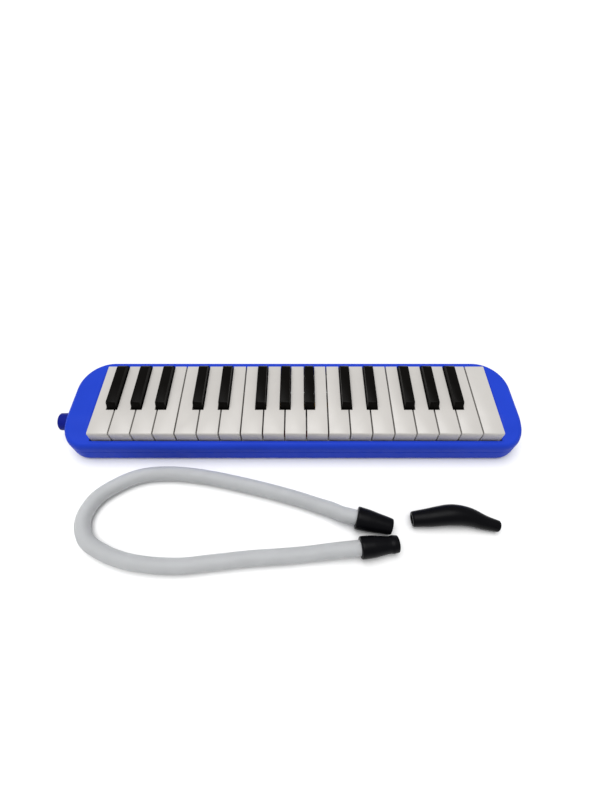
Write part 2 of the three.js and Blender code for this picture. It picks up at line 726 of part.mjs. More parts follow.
function waterSpring() {
  const wire = 0.4;
  const coil = new SpringCurve();
  Object.assign(coil, {
    turns: 5,
    radius: 3.4,
    x0: CHAMBER_X[1] + wire + 0.1,
    x1: BUTTON_FLANGE_X[0] - wire - 0.1,
    y: DRAIN.y,
    z: DRAIN.z,
  });
  const section = new THREE.Shape();
  section.absarc(0, 0, wire, 0, 2 * Math.PI, false);
  return toSolid(
    new THREE.ExtrudeGeometry(section, { steps: 50, extrudePath: coil, curveSegments: 2 }),
  );
}

place('water_valve_spring', waterSpring(), FINISH.steel);

// ---------------------------------------------------------------- hose and its fittings

// Each fitting is turned about its own axis: radii are [radius, distance from the hose's end].
const PLUG = {
  start: new THREE.Vector3(54.7, -107.9, 9.9),
  end: new THREE.Vector3(83.5, -115.1, 8),
  bore: 4.5,
  radii: [[9.6, 0], [9.8, 1.5], [9.4, 10], [8.5, 17], [7.3, 28], [6.7, 31]],
};
const HOSE_MOUTHPIECE = {
  start: new THREE.Vector3(56.2, -133.3, 9.4),
  end: new THREE.Vector3(87.9, -129.7, 8.2),
  bore: 3.6,
  radii: [[9, 0], [9.3, 1.5], [8.9, 11], [7.3, 22], [6.9, 25.5], [7.5, 27], [7, 32]],
};

function axisOf({ start, end }) {
  return end.clone().sub(start).normalize();
}

// A turned piece laid along an axis: the profile closes on itself round the bore.
function turnedAlong(profile, start, axis, sides = 14) {
  const points = [...profile, profile[0]].map(([r, s]) => new THREE.Vector2(r, s));
  const lathe = new THREE.LatheGeometry(points, sides);
  lathe.applyQuaternion(new THREE.Quaternion().setFromUnitVectors(new THREE.Vector3(0, 1, 0), axis));
  return toSolid(lathe.translate(start.x, start.y, start.z));
}

function fitting(piece) {
  const { start, bore, radii } = piece;
  const axis = axisOf(piece);
  const length = radii[radii.length - 1][1];
  const profile = [[bore, 0], ...radii, [bore, length]];
  return turnedAlong(profile, start.clone().addScaledVector(axis, HOSE.gap), axis);
}

place('hose_plug', fitting(PLUG), FINISH.blackPlastic);
place('hose_mouthpiece', fitting(HOSE_MOUTHPIECE), FINISH.blackPlastic);

// The hose lies on the table in one wide loop from the plug, which fits the blow port, back to the
// mouthpiece beside it. It runs straight into both fittings, and rises there, because they are thicker.
const HOSE_LOOP = [
  [42.2, -104.2, 9.2],
  [33, -99.8, 8.1],
  [21.8, -95.8, 6.9],
  [7.8, -90.9, 6.6],
  [-15, -84.1, 6.6],
  [-45, -76.4, 6.6],
  [-84, -68.2, 6.6],
  [-114, -65.3, 6.6],
  [-139, -67.5, 6.6],
  [-159.4, -76.7, 6.6],
  [-175.5, -90.5, 6.6],
  [-181, -108.8, 6.6],
  [-173.9, -125.4, 6.6],
  [-158, -135.5, 6.6],
  [-137.7, -142.6, 6.6],
  [-116, -146, 6.6],
  [-91.6, -146.9, 6.6],
  [-66, -144.3, 6.6],
  [-35.4, -141.1, 6.6],
  [-3.7, -138.9, 6.6],
  [17, -137, 6.8],
  [28, -135.9, 7.9],
  [38.9, -134.9, 9],
];
const STRAIGHT_RUN = 6.5;

function hoseRoute() {
  const middle = HOSE_LOOP.map(([x, y, z]) => new THREE.Vector3(x, y, z));
  const leaving = PLUG.start.clone().addScaledVector(axisOf(PLUG), -STRAIGHT_RUN);
  const arriving = HOSE_MOUTHPIECE.start.clone().addScaledVector(axisOf(HOSE_MOUTHPIECE), -STRAIGHT_RUN);
  return [PLUG.start, leaving, ...middle, arriving, HOSE_MOUTHPIECE.start];
}

function hose() {
  const section = new THREE.Shape();
  section.absarc(0, 0, HOSE.radius, 0, 2 * Math.PI, false);
  const extrudePath = new THREE.CatmullRomCurve3(hoseRoute(), false, 'centripetal');
  const options = { steps: HOSE.steps, extrudePath, curveSegments: HOSE.sides / 2 };
  return toSolid(new THREE.ExtrudeGeometry(section, options));
}

place('hose', hose(), FINISH.hose);

// ---------------------------------------------------------------- short mouthpiece

// The short mouthpiece is a turned tube bent along an arch and lying on its side.
const MOUTHPIECE_ARCH = new THREE.CatmullRomCurve3(
  [
    [103.2, -108.3, 6.7],
    [117, -107.3, 7.9],
    [137.9, -105.4, 9.3],
    [152, -106.8, 8.5],
    [165, -110.9, 6.6],
    [177.8, -114.2, 5.1],
  ].map(([x, y, z]) => new THREE.Vector3(x, y, z)),
);
const MOUTHPIECE_RADII = [
  [6.5, 0],
  [7.7, 0.18],
  [8.4, 0.3],
  [9, 0.46],
  [8.2, 0.63],
  [6.9, 0.76],
  [5.7, 0.88],
  [4.9, 1],
];
const MOUTHPIECE_BORE = 3.8;

function mouthpiece() {
  const bore = MOUTHPIECE_RADII.map(([, t]) => [MOUTHPIECE_BORE, t]).reverse();
  const profile = [...MOUTHPIECE_RADII, ...bore];
  const points = [...profile, profile[0]].map(([r, t]) => new THREE.Vector2(r, t));
  const lathe = new THREE.LatheGeometry(points, 12);
  const position = lathe.attributes.position;
  const up = new THREE.Vector3(0, 0, 1);
  for (let i = 0; i < position.count; i += 1) {
    const t = THREE.MathUtils.clamp(position.getY(i), 0, 1);
    const ahead = MOUTHPIECE_ARCH.getTangentAt(t);
    const side = new THREE.Vector3().crossVectors(ahead, up).normalize();
    const over = new THREE.Vector3().crossVectors(side, ahead);
    const spot = MOUTHPIECE_ARCH.getPointAt(t)
      .addScaledVector(side, position.getX(i))
      .addScaledVector(over, position.getZ(i));
    position.setXYZ(i, spot.x, spot.y, spot.z);
  }
  return toSolid(lathe);
}

place('mouthpiece', mouthpiece(), FINISH.blackPlastic);

export default melodica;
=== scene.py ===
"""A 32-key melodica with its blowing hose and its short mouthpiece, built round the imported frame.

Shapes are worked out in millimetres in the part's own frame: X along the keyboard from the low notes
to the high ones, Y from the player to the back, Z up. They become metres as the objects are made.
"""

import json
import math

import bmesh
import bpy
import numpy as np
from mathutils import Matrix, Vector

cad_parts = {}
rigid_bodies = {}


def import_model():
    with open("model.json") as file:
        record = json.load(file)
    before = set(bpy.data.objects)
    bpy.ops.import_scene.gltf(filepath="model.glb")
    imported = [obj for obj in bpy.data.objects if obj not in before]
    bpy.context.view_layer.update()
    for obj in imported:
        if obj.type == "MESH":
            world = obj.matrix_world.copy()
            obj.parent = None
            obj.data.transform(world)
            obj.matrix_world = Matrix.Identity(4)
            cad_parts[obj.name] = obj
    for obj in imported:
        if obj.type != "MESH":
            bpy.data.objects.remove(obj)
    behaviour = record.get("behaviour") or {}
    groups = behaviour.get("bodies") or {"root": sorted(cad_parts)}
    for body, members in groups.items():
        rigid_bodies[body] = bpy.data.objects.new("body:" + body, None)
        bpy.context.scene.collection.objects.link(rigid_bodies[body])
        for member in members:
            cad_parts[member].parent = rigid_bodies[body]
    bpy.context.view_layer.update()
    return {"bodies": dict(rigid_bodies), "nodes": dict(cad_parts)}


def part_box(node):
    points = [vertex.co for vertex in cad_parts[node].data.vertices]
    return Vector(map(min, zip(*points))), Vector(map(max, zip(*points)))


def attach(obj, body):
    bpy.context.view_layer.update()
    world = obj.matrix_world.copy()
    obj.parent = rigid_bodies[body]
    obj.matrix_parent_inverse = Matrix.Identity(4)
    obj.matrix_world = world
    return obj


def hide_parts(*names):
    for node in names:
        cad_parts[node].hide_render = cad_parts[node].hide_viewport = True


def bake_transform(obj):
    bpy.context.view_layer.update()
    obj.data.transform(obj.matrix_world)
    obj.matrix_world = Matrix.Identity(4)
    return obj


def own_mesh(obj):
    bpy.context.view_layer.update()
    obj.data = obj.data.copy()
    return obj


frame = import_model()

MM = 0.001
scene = bpy.context.scene

# ---------------------------------------------------------------- dimensions, in millimetres

HALF_LENGTH = 215.5
HALF_DEPTH = 47.6
FRONT_RADIUS = 21
REAR_RADIUS = 32
CASE_WALL = 1.9
ROOF = 2.6
PARTING_Z = 14
SEAM = 0.35
SEAM_GAP = 0.1
FRONT_RIM_Z = 25.4
CHEEK_Z = 32
WELL_X = (-188.2, 193.2)
WELL_Y = (-41.4, 40.6)
WELL_FLOOR_Z = 19.7

# How far the casing's top edge is rounded inwards and down, at its ends, front and rear.
EDGE_IN = (6.5, 4.2, 4)
EDGE_DOWN = (7, 6.5, 4)

# The rounding round the keyboard well, wide along the cheeks and narrow elsewhere. It stays above
# LIP_FLOOR_Z, and the wide part narrows over the last LIP_TAPER before the rear corners.
WELL_CORNER = 0.8
LIP_CHEEK_REACH = 4.5
LIP_FRONT_REACH = 0.4
LIP_REAR_REACH = 0.7
LIP_DOWN = (4, 0.3, 0.7)
LIP_FLOOR_Z = 25
LIP_TAPER = 16

# The rounding under the casing, and that of the edges of the blow port and the water button.
BOTTOM_ROUND = {"inset": 3, "height": 7}
EDGE_ROUND = 0.7

PORT = {"y": -15.4, "z": 17, "radius": 8.7, "end_radius": 8.4, "bore": 6.4, "end_x": -225.4}
MANIFOLD = {"x": (-206.5, -194), "y": (-24, 7), "z": (4.2, 25.2), "wall": 2}
AIR_INLET = {"y": (-4, 4), "z": (6, 11.5), "wall": 1.4}
COLLAR = {"x": -210.8, "radius": 10}
DRAIN = {"y": 10, "z": 9, "cap_radius": 4, "flange_radius": 5.5, "rod_radius": 1.5, "end_x": 218}
BUTTON_ROD_X = 189
BUTTON_FLANGE_X = (210.6, 212.2)
HOLE_GAP = 0.3

SCREW_SPOTS = [(-201.5, -31), (-201.5, 31), (203, -31), (203, 31), (-64, -30), (68, -30)]
SCREW_TIPS = [22, 22, 22, 22, 18, 18]
SCREW = {
    "head_radius": 2.8,
    "head_z": (0.75, 2.95),
    "chamfer": (0.6, 0.65),
    "shank_radius": 1.3,
    "point": 1,
    "round": 0.25,
}
SCREW_RECESS = {"radius": 3.4, "depth": 6}
CROSS_SLOT = {"half_length": 1.8, "half_width": 0.4, "top_z": 1.65}

HOSE = {"radius": 6.5, "bore": 5.1, "gap": 0.3, "straight_run": 6.5}
FITTING_ROUND = 1.1

# A fitting's radii are pairs of a radius and the distance from its start, where it meets the hose.
PLUG = {
    "start": (54.7, -107.9, 9.9),
    "end": (83.5, -115.1, 8),
    "bore": 4.5,
    "radii": [(9.6, 0), (9.8, 1.5), (9.4, 10), (8.5, 17), (7.3, 28), (6.7, 31)],
}
HOSE_MOUTHPIECE = {
    "start": (56.2, -133.3, 9.4),
    "end": (87.9, -129.7, 8.2),
    "bore": 3.6,
    "radii": [(9, 0), (9.3, 1.5), (8.9, 11), (7.3, 22), (6.9, 25.5), (7.5, 27), (7, 32)],
}

# The middle of the hose, from the plug round to the hose's mouthpiece.
HOSE_LOOP = [
    (42.2, -104.2, 9.2),
    (33, -99.8, 8.1),
    (21.8, -95.8, 6.9),
    (7.8, -90.9, 6.6),
    (-15, -84.1, 6.6),
    (-45, -76.4, 6.6),
    (-84, -68.2, 6.6),
    (-114, -65.3, 6.6),
    (-139, -67.5, 6.6),
    (-159.4, -76.7, 6.6),
    (-175.5, -90.5, 6.6),
    (-181, -108.8, 6.6),
    (-173.9, -125.4, 6.6),
    (-158, -135.5, 6.6),
    (-137.7, -142.6, 6.6),
    (-116, -146, 6.6),
    (-91.6, -146.9, 6.6),
    (-66, -144.3, 6.6),
    (-35.4, -141.1, 6.6),
    (-3.7, -138.9, 6.6),
    (17, -137, 6.8),
    (28, -135.9, 7.9),
    (38.9, -134.9, 9),
]

# The short mouthpiece: its middle line, and its radius at shares of that line's length.
MOUTHPIECE_ARCH = [
    (103.2, -108.3, 6.7),
    (117, -107.3, 7.9),
    (137.9, -105.4, 9.3),
    (152, -106.8, 8.5),
    (165, -110.9, 6.6),
    (177.8, -114.2, 5.1),
]
MOUTHPIECE_RADII = [
    (6.5, 0),
    (7.7, 0.18),
    (8.4, 0.3),
    (9, 0.46),
    (8.2, 0.63),
    (6.9, 0.76),
    (5.7, 0.88),
    (4.9, 1),
]
MOUTHPIECE_BORE = 3.8
MOUTHPIECE_RIM = 0.8

VALVE_SPRING = {"wire_radius": 0.4, "turns": 7, "closed_turns": 1.2, "closed_pitch": 0.84}
COMB = {"y": (0, 5), "base_z": 19.55, "thickness": 0.5, "finger_width": 3, "tip": (-9, 25.4)}

# ---------------------------------------------------------------- curves


def curve_through(points, count):
    """Points evenly spaced along the centripetal Catmull-Rom curve through the given ones."""
    chain = np.array(points, float)
    chain = np.vstack([2 * chain[0] - chain[1], chain, 2 * chain[-1] - chain[-2]])
    steps = np.sqrt(np.linalg.norm(np.diff(chain, axis=0), axis=1))
    s = np.linspace(0, 1, 24, endpoint=False)[:, None]
    fine = []
    for i in range(1, len(chain) - 2):
        a, b, c, d = chain[i - 1 : i + 3]
        before, here, after = steps[i - 1 : i + 2]
        leave = here * ((b - a) / before - (c - a) / (before + here) + (c - b) / here)
        arrive = here * ((c - b) / here - (d - b) / (here + after) + (d - c) / after)
        near = (2 * s**3 - 3 * s**2 + 1) * b + (s**3 - 2 * s**2 + s) * leave
        far = (3 * s**2 - 2 * s**3) * c + (s**3 - s**2) * arrive
        fine.append(near + far)
    fine = np.vstack([*fine, chain[-2]])
    run = run_of(fine)
    at = np.linspace(0, run[-1], count)
    return np.column_stack([np.interp(at, run, fine[:, axis]) for axis in range(3)])


def run_of(points):
    """Distance from the first point to each point, along the line."""
    gaps = np.linalg.norm(np.diff(points, axis=0), axis=1)
    return np.concatenate([[0], np.cumsum(gaps)])


class Spine:
    """A line that turned pieces are laid along."""

    def __init__(self, points):
        self.points = np.array(points, float)
        self.run = run_of(self.points)
        self.length = self.run[-1]
        self.ahead = np.gradient(self.points, self.run, axis=0)

    def at(self, s):
        """The place and the two directions across the line at distance s, which may lie past an end."""
        place = np.array([np.interp(s, self.run, self.points[:, axis]) for axis in range(3)])
        ahead = np.array([np.interp(s, self.run, self.ahead[:, axis]) for axis in range(3)])
        ahead /= np.linalg.norm(ahead)
        place += ahead * (s - min(max(s, 0), self.length))
        up = (0, 1, 0) if abs(ahead[2]) > 0.9 else (0, 0, 1)
        side = np.cross(ahead, up)
        side /= np.linalg.norm(side)
        return place, side, np.cross(side, ahead)


def softened(profile, radius):
    """A closed profile with each corner rounded over about the given radius."""
    corners = [np.array(p, float) for p in profile]
    soft = []
    for i, here in enumerate(corners):
        before, after = corners[i - 1], corners[(i + 1) % len(corners)]
        into, out = before - here, after - here
        cut_in = min(radius, 0.45 * np.linalg.norm(into))
        cut_out = min(radius, 0.45 * np.linalg.norm(out))
        start = here + into / np.linalg.norm(into) * cut_in
        end = here + out / np.linalg.norm(out) * cut_out
        for t in np.linspace(0, 1, 5):
            soft.append((1 - t) ** 2 * start + 2 * t * (1 - t) * here + t**2 * end)
    return soft


# ---------------------------------------------------------------- meshes


def mesh_object(name, points, faces):
    """An object from points in millimetres."""
    mesh = bpy.data.meshes.new(name)
    mesh.from_pydata([tuple(p) for p in np.asarray(points, float) * MM], [], faces)
    obj = bpy.data.objects.new(name, mesh)
    scene.collection.objects.link(obj)
    return obj


def clean(obj):
    """Joins doubled points, turns the faces outwards and shades the mesh smooth between sharp edges."""
    work = bmesh.new()
    work.from_mesh(obj.data)
    bmesh.ops.remove_doubles(work, verts=work.verts, dist=1e-6)
    bmesh.ops.dissolve_degenerate(work, edges=work.edges, dist=1e-7)
    bmesh.ops.recalc_face_normals(work, faces=work.faces)
    work.to_mesh(obj.data)
    work.free()
    obj.data.shade_smooth()
    obj.data.set_sharp_from_angle(angle=math.radians(40))
    return obj


def loft(rings, wrap_rings=False):
    """Points and quads of a skin through closed rings, each with as many points as the next."""
    rings = np.asarray(rings, float)
    rows, columns = rings.shape[:2]
    faces = []
    for i in range(rows if wrap_rings else rows - 1):
        for j in range(columns):
            below, above = i * columns, (i + 1) % rows * columns
            k = (j + 1) % columns
            faces.append((below + j, below + k, above + k, above + j))
    return rings.reshape(-1, 3), faces


def turned(name, profile, line, sides=48):
    """A closed profile of (radius, distance along the line), turned about the line."""
    angles = np.linspace(0, 2 * math.pi, sides, endpoint=False)
    rings = []
    for radius, s in profile:
        place, side, over = line.at(s)
        rings.append([place + radius * (math.cos(a) * side + math.sin(a) * over) for a in angles])
    return clean(mesh_object(name, *loft(rings, wrap_rings=True)))


def box(name, x_range, y_range, z_range):
    """A plain box, used for cutting and joining."""
    points = [(x, y, z) for x in x_range for y in y_range for z in z_range]
    faces = [(0, 1, 3, 2), (4, 6, 7, 5), (0, 4, 5, 1), (2, 3, 7, 6), (0, 2, 6, 4), (1, 5, 7, 3)]
    return clean(mesh_object(name, points, faces))


def grow(span, by):
    """A range made longer at both ends, or shorter where by is negative."""
    return span[0] - by, span[1] + by


def apply_modifiers(obj):
    """Makes what an object's modifiers do part of its mesh."""
    depsgraph = bpy.context.evaluated_depsgraph_get()
    final = bpy.data.meshes.new_from_object(obj.evaluated_get(depsgraph))
    obj.modifiers.clear()
    obj.data = final


def combine(obj, others, operation):
    """Cuts the other meshes from obj, or joins them to it, and removes them."""
    for other in others:
        modifier = obj.modifiers.new(operation, "BOOLEAN")
        modifier.operation = operation
        modifier.object = other
        modifier.solver = "EXACT"
        apply_modifiers(obj)
        bpy.data.objects.remove(other)
    return obj


def rod(name, radius, start, end, sides=48):
    """A plain rod between two points, used for cutting holes."""
    line = Spine([start, end])
    return turned(name, [(0, 0), (radius, 0), (radius, line.length), (0, line.length)], line, sides)


# ---------------------------------------------------------------- materials


class Finish:
    """Builds one node material."""

    def __init__(self, name, color, roughness, **sockets):
        self.material = bpy.data.materials.new(name)
        self.material.use_nodes = True
        self.nodes = self.material.node_tree.nodes
        self.links = self.material.node_tree.links
        self.shader = self.nodes["Principled BSDF"]
        self.coordinates = self.nodes.new("ShaderNodeTexCoord").outputs["Object"]
        self.shader.inputs["Base Color"].default_value = (*color, 1)
        self.shader.inputs["Roughness"].default_value = roughness
        for socket, value in sockets.items():
            self.shader.inputs[socket.replace("_", " ")].default_value = value
        self.color = color
        self.roughness = roughness
        self.normal = None

    def noise(self, size_mm, detail=3, stretch=(1, 1, 1)):
        """Noise whose grains are about size_mm across."""
        mapping = self.nodes.new("ShaderNodeMapping")
        mapping.inputs["Scale"].default_value = stretch
        self.links.new(self.coordinates, mapping.inputs["Vector"])
        noise = self.nodes.new("ShaderNodeTexNoise")
        noise.inputs["Scale"].default_value = 1 / (size_mm * MM)
        noise.inputs["Detail"].default_value = detail
        self.links.new(mapping.outputs["Vector"], noise.inputs["Vector"])
        return noise.outputs["Fac"]

    def ranged(self, value, low, high):
        """Spreads the middle of a noise over the range from low to high."""
        span = self.nodes.new("ShaderNodeMapRange")
        span.inputs["From Min"].default_value = 0.3
        span.inputs["From Max"].default_value = 0.7
        span.inputs["To Min"].default_value = low
        span.inputs["To Max"].default_value = high
        self.links.new(value, span.inputs["Value"])
        return span.outputs["Result"]

    def vary_color(self, value, change, tint=(1, 1, 1)):
        """Mixes the colour with a darker or tinted one."""
        mix = self.nodes.new("ShaderNodeMix")
        mix.data_type = "RGBA"
        other = [c * (1 - change) * t for c, t in zip(self.color, tint)]
        mix.inputs["A"].default_value = (*self.color, 1)
        mix.inputs["B"].default_value = (*other, 1)
        self.links.new(self.ranged(value, 0, 1), mix.inputs["Factor"])
        self.links.new(mix.outputs["Result"], self.shader.inputs["Base Color"])
        return self

    def vary_roughness(self, value, change):
        """Lets the roughness stray from its value by the change, up and down."""
        low, high = self.roughness - change, self.roughness + change
        self.links.new(self.ranged(value, low, high), self.shader.inputs["Roughness"])
        return self

    def bump(self, value, height_mm):
        """Adds a bump on top of those that the finish has already."""
        bump = self.nodes.new("ShaderNodeBump")
        bump.inputs["Distance"].default_value = height_mm * MM
        bump.inputs["Strength"].default_value = 1
        self.links.new(value, bump.inputs["Height"])
        if self.normal is not None:
            self.links.new(self.normal, bump.inputs["Normal"])
        self.normal = bump.outputs["Normal"]
        self.links.new(self.normal, self.shader.inputs["Normal"])
        return self


def moulded(name, color, roughness, grain_mm=0.35, grain_depth_mm=0.006, flow=0.06, **sockets):
    """Moulded plastic: faint flow clouds in the colour, a slightly uneven gloss and a fine skin grain."""
    finish = Finish(name, color, roughness, **sockets)
    finish.vary_color(finish.noise(28, 4), flow)
    finish.vary_roughness(finish.noise(9, 5), roughness * 0.18)
    finish.bump(finish.noise(22, 2), 0.05)
    finish.bump(finish.noise(grain_mm, 2), grain_depth_mm)
    return finish


def make_materials():
    """All the materials, by the slots that they fill."""
    made = {}
    made["case_blue"] = moulded("case_blue_plastic", (0.016, 0.052, 0.52), 0.4, Specular_IOR_Level=0.04)
    made["port_blue"] = moulded("port_blue_plastic", (0.006, 0.012, 0.2), 0.42, Specular_IOR_Level=0.05)
    made["key_white"] = moulded(
        "white_key_plastic",
        (0.53, 0.51, 0.485),
        0.34,
        grain_mm=0.5,
        grain_depth_mm=0.002,
        flow=0.03,
    )
    made["key_black"] = moulded(
        "black_key_plastic",
        (0.003, 0.0025, 0.002),
        0.34,
        grain_mm=0.4,
        grain_depth_mm=0.004,
        flow=0.2,
        Specular_IOR_Level=0.05,
    )
    made["board_plastic"] = moulded("board_plastic", (0.55, 0.54, 0.52), 0.5)
    made["chamber_plastic"] = moulded("chamber_plastic", (0.07, 0.075, 0.085), 0.5)
    made["black_plastic"] = moulded(
        "black_fitting_plastic",
        (0.003, 0.003, 0.004),
        0.36,
        grain_mm=0.3,
        grain_depth_mm=0.006,
        flow=0.2,
        Specular_IOR_Level=0.07,
    )

    rubber = Finish("rubber", (0.022, 0.022, 0.024), 0.85)
    rubber.vary_color(rubber.noise(6, 4), 0.3)
    rubber.bump(rubber.noise(0.2, 3), 0.02)
    made["rubber_seal"] = rubber

    felt = Finish("felt", (0.2, 0.012, 0.018), 0.95, Sheen_Weight=0.6, Sheen_Roughness=0.5)
    felt.vary_color(felt.noise(0.8, 6, (1, 4, 1)), 0.45)
    felt.bump(felt.noise(0.25, 6, (1, 3, 1)), 0.15)
    made["felt"] = felt

    brass = Finish("brass", (0.55, 0.34, 0.08), 0.3, Metallic=1)
    brass.vary_color(brass.noise(7, 5), 0.25, (0.95, 0.9, 0.8))
    brass.vary_roughness(brass.noise(0.3, 4, (1, 0.05, 1)), 0.12)
    brass.bump(brass.noise(0.12, 3, (1, 0.04, 1)), 0.003)
    made["brass"] = brass

    steel = Finish("steel", (0.55, 0.56, 0.58), 0.28, Metallic=1)
    steel.vary_color(steel.noise(4, 5), 0.2)
    steel.vary_roughness(steel.noise(0.25, 4, (0.05, 1, 1)), 0.1)
    steel.bump(steel.noise(0.12, 3, (0.05, 1, 1)), 0.002)
    made["steel"] = steel

    made["hose_plastic"] = hose_finish()
    return {slot: finish.material for slot, finish in made.items()}


def hose_finish():
    """Milky flexible plastic that lets some of what is behind it through."""
    finish = Finish(
        "milky_hose_plastic",
        (0.62, 0.63, 0.642),
        0.5,
        Specular_IOR_Level=0.25,
        Subsurface_Weight=0.8,
        Subsurface_Radius=(1, 1, 1),
        Subsurface_Scale=0.01,
    )
    finish.vary_color(finish.noise(30, 4), 0.08)
    finish.vary_roughness(finish.noise(6, 4), 0.06)
    finish.bump(finish.noise(5, 3), 0.08)
    clear = finish.nodes.new("ShaderNodeBsdfTransparent")
    clear.inputs["Color"].default_value = (0.9, 0.94, 0.97, 1)
    mix = finish.nodes.new("ShaderNodeMixShader")
    mix.inputs["Fac"].default_value = 0.8
    output = finish.nodes["Material Output"]
    finish.links.new(clear.outputs["BSDF"], mix.inputs[1])
    finish.links.new(finish.shader.outputs["BSDF"], mix.inputs[2])
    finish.links.new(mix.outputs["Shader"], output.inputs["Surface"])
    return finish


MATERIALS = make_materials()


def paint_piece(obj, slot, node):
    """Gives a piece its material, in the place of a CAD node."""
    obj.data.materials.clear()
    obj.data.materials.append(MATERIALS[slot])
    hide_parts(node)
    return obj


def finish_piece(obj, body, slot, node):
    """Gives a piece its material and its body, in the place of a CAD node."""
    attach(obj, body)
    return paint_piece(obj, slot, node)


# ---------------------------------------------------------------- camera

CAMERA_SPOT = (6.5, -227.3, 356.5)
CAMERA_BELOW_HORIZON = 55
CAMERA_LENS = 18.45


def make_camera():
    """The photo's camera, as fitted to the four corners of the keyboard."""
    camera = bpy.data.cameras.new("camera")
    camera.lens = CAMERA_LENS
    camera.sensor_width = 36
    camera.clip_start = 0.01
    obj = bpy.data.objects.new("camera", camera)
    obj.location = [c * MM for c in CAMERA_SPOT]
    obj.rotation_euler = (math.radians(90 - CAMERA_BELOW_HORIZON), 0, 0)
    scene.collection.objects.link(obj)
    scene.camera = obj


make_camera()

# ---------------------------------------------------------------- hose and its fittings


def axis_of(piece):
    """The direction in which a fitting points, away from the hose."""
    run = np.subtract(piece["end"], piece["start"])
    return run / np.linalg.norm(run)


def make_fitting(name, node, piece):
    """A turned fitting with a bore, set a little clear of the hose's end."""
    axis = axis_of(piece)
    start = np.array(piece["start"]) + HOSE["gap"] * axis
    length = piece["radii"][-1][1]
    profile = [(piece["bore"], 0), *piece["radii"], (piece["bore"], length)]
    obj = turned(name, softened(profile, FITTING_ROUND), Spine([start, start + axis * length]), 64)
    return finish_piece(obj, "hose_set", "black_plastic", node)


def make_hose():
    """The hose, and the middle line that it is laid along, in metres."""
    leaving = np.array(PLUG["start"]) - HOSE["straight_run"] * axis_of(PLUG)
    arriving = np.array(HOSE_MOUTHPIECE["start"]) - HOSE["straight_run"] * axis_of(HOSE_MOUTHPIECE)
    route = [PLUG["start"], leaving, *HOSE_LOOP, arriving, HOSE_MOUTHPIECE["start"]]
    centres = curve_through(route, 240)
    line = Spine(centres)
    run = np.linspace(0, line.length, len(centres))
    outer = [(HOSE["radius"], s) for s in run]
    inner = [(HOSE["bore"], s) for s in run[::-1]]
    obj = turned("hose_tube", outer + inner, line, 32)
    finish_piece(obj, "hose_set", "hose_plastic", "hose")
    return obj, centres * MM


plug = make_fitting("plug_fitting", "hose_plug", PLUG)
hose_mouthpiece = make_fitting("mouthpiece_fitting", "hose_mouthpiece", HOSE_MOUTHPIECE)
hose, hose_route = make_hose()

# ---------------------------------------------------------------- short mouthpiece


def make_mouthpiece():
    """A tube along an arch, swelling in the middle and narrowing to both ends."""
    line = Spine(curve_through(MOUTHPIECE_ARCH, 60))
    # The radii are scaled down to the size of the shares, which go from 0 to 1.
    scale = 20
    smooth = curve_through([(t, radius / scale, 0) for radius, t in MOUTHPIECE_RADII], 200)
    outer = []
    for t in np.linspace(0, 1, 40):
        outer.append((scale * np.interp(t, smooth[:, 0], smooth[:, 1]), t * line.length))
    bore = [(MOUTHPIECE_BORE, s) for _, s in outer[::-1]]
    rim = MOUTHPIECE_RIM
    start = [(MOUTHPIECE_BORE + 0.3, 0), (outer[0][0] - rim, 0), (outer[0][0], rim)]
    end = [(outer[-1][0], line.length - rim), (outer[-1][0] - rim, line.length)]
    profile = [*start, *outer[1:-1], *end, *bore[1:-1]]
    obj = turned("short_mouthpiece", profile, line, 48)
    return finish_piece(obj, "mouthpiece_body", "black_plastic", "mouthpiece")


make_mouthpiece()

# ---------------------------------------------------------------- casing

# Points of a ring in each corner, along each end, where the top rises, and along each long side.
PER_CORNER = 24
PER_END = 60
PER_SIDE = 30


def plan_ring(x_range, y_range, front_radius, rear_radius):
    """Points and outward directions round a rounded rectangle, anticlockwise from its front right corner."""
    corners = [
        (x_range[1] - front_radius, y_range[0] + front_radius, front_radius),
        (x_range[1] - rear_radius, y_range[1] - rear_radius, rear_radius),
        (x_range[0] + rear_radius, y_range[1] - rear_radius, rear_radius),
        (x_range[0] + front_radius, y_range[0] + front_radius, front_radius),
    ]
    counts = [PER_END, PER_SIDE, PER_END, PER_SIDE]
    points, outward = [], []
    for i, (x, y, radius) in enumerate(corners):
        start_deg = 90 * (i - 1)
        for angle in np.radians(np.linspace(start_deg, start_deg + 90, PER_CORNER)):
            direction = np.array([math.cos(angle), math.sin(angle)])
            points.append((x, y) + radius * direction)
            outward.append(direction)
        next_x, next_y, next_radius = corners[(i + 1) % 4]
        start, end = points[-1], (next_x, next_y) + next_radius * direction
        for t in np.linspace(0, 1, counts[i] + 2)[1:-1]:
            points.append((1 - t) * start + t * end)
            outward.append(direction)
    return np.array(points), np.array(outward)


def case_ring():
    """The outline of the casing, seen from above."""
    return plan_ring((-HALF_LENGTH, HALF_LENGTH), (-HALF_DEPTH, HALF_DEPTH), FRONT_RADIUS, REAR_RADIUS)


def by_side(outward, end, front, rear):
    """A value for each point of a ring, blended round the corners."""
    share = outward[:, 0] ** 2
    along = np.where(outward[:, 1] < 0, front, rear)
    return share * end + (1 - share) * along


def rim_curve():
    """The casing's side view: the rise from the low front rim to the cheeks, as y and z."""
    p = np.array([(-16, CHEEK_Z), (-26, CHEEK_Z), (-32, FRONT_RIM_Z + 1), (WELL_Y[0], FRONT_RIM_Z)])
    t = np.linspace(0, 1, 80)[:, None]
    curve = (1 - t) ** 3 * p[0] + 3 * t * (1 - t) ** 2 * p[1] + 3 * t**2 * (1 - t) * p[2] + t**3 * p[3]
    return curve[::-1]


RIM_CURVE = rim_curve()


def top_z(y):
    """The height of the casing's top at a distance from the player."""
    return np.interp(y, RIM_CURVE[:, 0], RIM_CURVE[:, 1])


def ring_at(plan, z):
    """The points of a plan at one height, or each at its own."""
    return np.column_stack([plan, np.broadcast_to(z, len(plan))])


